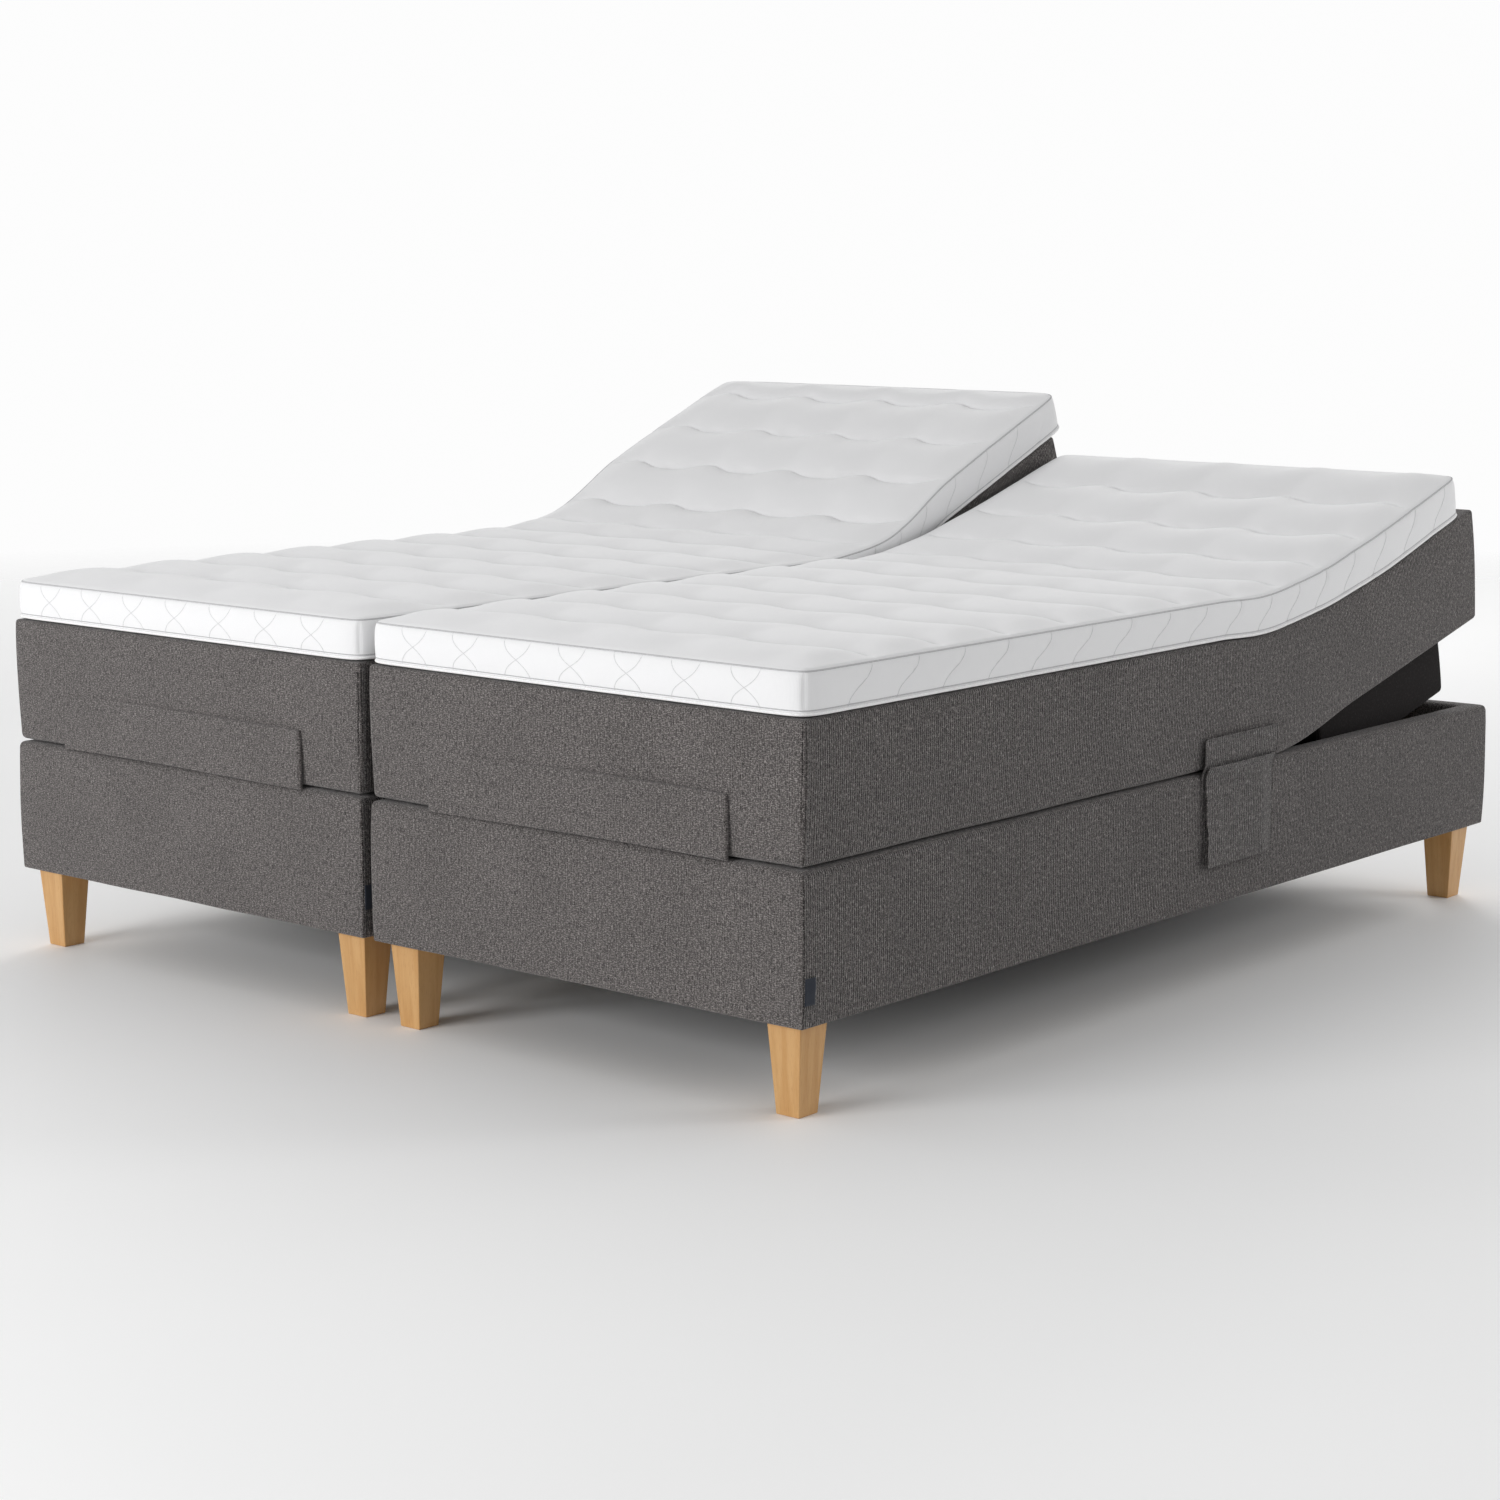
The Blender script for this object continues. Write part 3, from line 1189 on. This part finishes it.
def thread(name, base, shade, twist=1.4):
    """Twisted cord and sewing thread."""
    sh = Shader(name, Roughness=0.8, Sheen_Weight=0.2, Specular_IOR_Level=0.3)
    strands = sh.noise(sh.space((1000 / twist,) * 3), detail=1)
    return sh.finish(sh.mix(sh.between(strands, 0.35, 0.65), shade, base), sh.bump(strands, 0.0002, 0.6))


# ---------------------------------------------------------------- the scene


def make_camera():
    data = bpy.data.cameras.new("camera")
    data.sensor_width, data.lens = 36, LENS
    data.clip_start, data.clip_end = 0.05, 100
    camera = bpy.data.objects.new("camera", data)
    camera.location = CAMERA_AT
    camera.rotation_euler = (math.radians(90 - LOOK_DOWN), 0, math.radians(AZIMUTH))
    bpy.context.scene.collection.objects.link(camera)
    bpy.context.scene.camera = camera


def area_light(name, at, towards, size, power):
    data = bpy.data.lights.new(name, "AREA")
    data.shape, data.size, data.size_y = "RECTANGLE", size[0], size[1]
    data.energy = power
    lamp = bpy.data.objects.new(name, data)
    lamp.location = at
    lamp.rotation_euler = (Vector(towards) - Vector(at)).to_track_quat("-Z", "Y").to_euler()
    bpy.context.scene.collection.objects.link(lamp)


def make_studio():
    world = bpy.data.worlds.new("studio")
    bpy.context.scene.world = world
    world.use_nodes = True
    tree = world.node_tree
    direction = tree.nodes.new("ShaderNodeTexCoord").outputs["Generated"]
    dot = tree.nodes.new("ShaderNodeVectorMath")
    dot.operation = "DOT_PRODUCT"
    dot.inputs[1].default_value = (-math.sin(math.radians(AZIMUTH)), math.cos(math.radians(AZIMUTH)), 0)
    tree.links.new(direction, dot.inputs[0])
    fade = tree.nodes.new("ShaderNodeMapRange")
    fade.interpolation_type = "SMOOTHSTEP"
    for socket, value in (("From Min", -0.2), ("From Max", 0.9), ("To Min", ROOM), ("To Max", BACKDROP)):
        fade.inputs[socket].default_value = value
    tree.links.new(dot.outputs["Value"], fade.inputs["Value"])
    tree.links.new(fade.outputs["Result"], tree.nodes["Background"].inputs["Strength"])
    tree.nodes["Background"].inputs["Color"].default_value = (1, 1, 1, 1)
    bpy.context.scene.view_settings.view_transform = "Standard"
    for lamp in LAMPS:
        area_light(*lamp)
    reach = FLOOR_REACH[1]
    corners = [(-reach, -reach, 0), (reach, -reach, 0), (reach, reach, 0), (-reach, reach, 0)]
    floor = new_mesh("floor", corners, [(0, 1, 2, 3)])
    sh = Shader("pale floor", Roughness=0.6, Specular_IOR_Level=0.2)
    mottle = sh.noise(sh.space((2, 2, 2)), detail=2)
    distance = sh.add("VectorMath", {0: sh.space((1, 1, 1))}, operation="LENGTH").outputs["Value"]
    sh.feed(sh.bsdf.inputs["Alpha"], sh.between(distance, *FLOOR_REACH, 1.0, 0.0))
    floor.data.materials.append(sh.finish(sh.mix(mottle, (0.95, 0.95, 0.95), (0.97, 0.97, 0.97))))


def paint_frame(finishes):
    """Gives the CAD nodes that stay in view their materials, by what they are made of."""
    for node in frame["nodes"].values():
        part = node.name.split("_", 1)[1] if node.name.split("_", 1)[0] in SIDES else node.name
        finish = next((m for words, m in finishes if any(w in part for w in words)), None)
        if finish is not None:
            node.data.materials.clear()
            node.data.materials.append(finish)


make_camera()
make_studio()

grey = (
    heather(
        "grey_heather", (0.082, 0.073, 0.071), (0.360, 0.332, 0.320), (0.010, 0.008, 0.007),
        thread=1.7, relief=0.0006, slub=(5.0, 1.8), rib=3.1, ribbing=0.35,
    ),
    heather(
        "side_heather", (0.084, 0.075, 0.072), (0.390, 0.359, 0.346), (0.008, 0.006, 0.006),
        thread=2.0, relief=0.0008, slub=(2.6, 6), rib=5.0, ribbing=1.0,
    ),
)
pocket_grey = heather(
    "pocket_heather", (0.094, 0.086, 0.083), (0.420, 0.392, 0.380), (0.008, 0.006, 0.006),
    thread=1.5, relief=0.0009, slub=(2.6, 8), rib=6.0, ribbing=1.0,
)
box_grey = ribbed("underbox_rib", (0.017, 0.014, 0.014), (0.040, 0.035, 0.035), (0.006, 0.005, 0.005))
white = knit("white_knit", (0.885, 0.885, 0.888), (0.795, 0.795, 0.805))
grey_cord = thread("grey_cord", (0.54, 0.54, 0.55), (0.42, 0.42, 0.43))
pale_thread = thread("pale_thread", (0.68, 0.68, 0.69), (0.58, 0.58, 0.59))
white_piping = thread("white_piping", (0.90, 0.90, 0.90), (0.80, 0.80, 0.80), 2.0)
seam_thread = thread("seam_thread", (0.23, 0.22, 0.215), (0.12, 0.115, 0.11), 0.6)
honey_wood = wood(
    "honey_wood", (0.60, 0.350, 0.140), (0.53, 0.285, 0.098), (0.40, 0.19, 0.055), 2, gloss=0.34, coat=0.25
)
navy = thread("navy_label", (0.020, 0.026, 0.040), (0.010, 0.013, 0.022), 0.5)
softwood = wood("softwood", (0.62, 0.46, 0.27), (0.52, 0.36, 0.19), (0.34, 0.22, 0.10), 1, 0.62)
black = powder_coat("black_powder_coat", (0.018, 0.018, 0.020), (0.040, 0.040, 0.042))
bright = zinc("zinc_plate", (0.66, 0.67, 0.69), (0.52, 0.53, 0.55))
plastic = moulded("grey_plastic", (0.055, 0.056, 0.060), (0.085, 0.086, 0.09), 0.45)
pale_nylon = moulded("nylon", (0.74, 0.73, 0.69), (0.66, 0.65, 0.60), 0.40)
cloth_black = felted("dust_cloth", (0.012, 0.012, 0.013), (0.035, 0.035, 0.037))
paint_frame([
    (("hinge_pins", "knee_pins", "motor_rod", "bolts", "connectors"), bright),
    (("rollers",), pale_nylon),
    (("motor", "control_box"), plastic),
    (("dust_cover",), cloth_black),
    (("plinth_frame", "corner_blocks"), softwood),
    (("frame", "guides"), black),
])

for unit in (Unit("left"), Unit("right")):
    make_label(unit, make_plinth(unit, grey), navy)
    make_legs(unit, honey_wood)
    make_upper(unit, grey)
    make_underbox(unit, box_grey)
    make_retainer(unit, grey[0])
    make_pocket(unit, pocket_grey)
    make_topper(unit, white, grey_cord, white_piping, pale_thread)
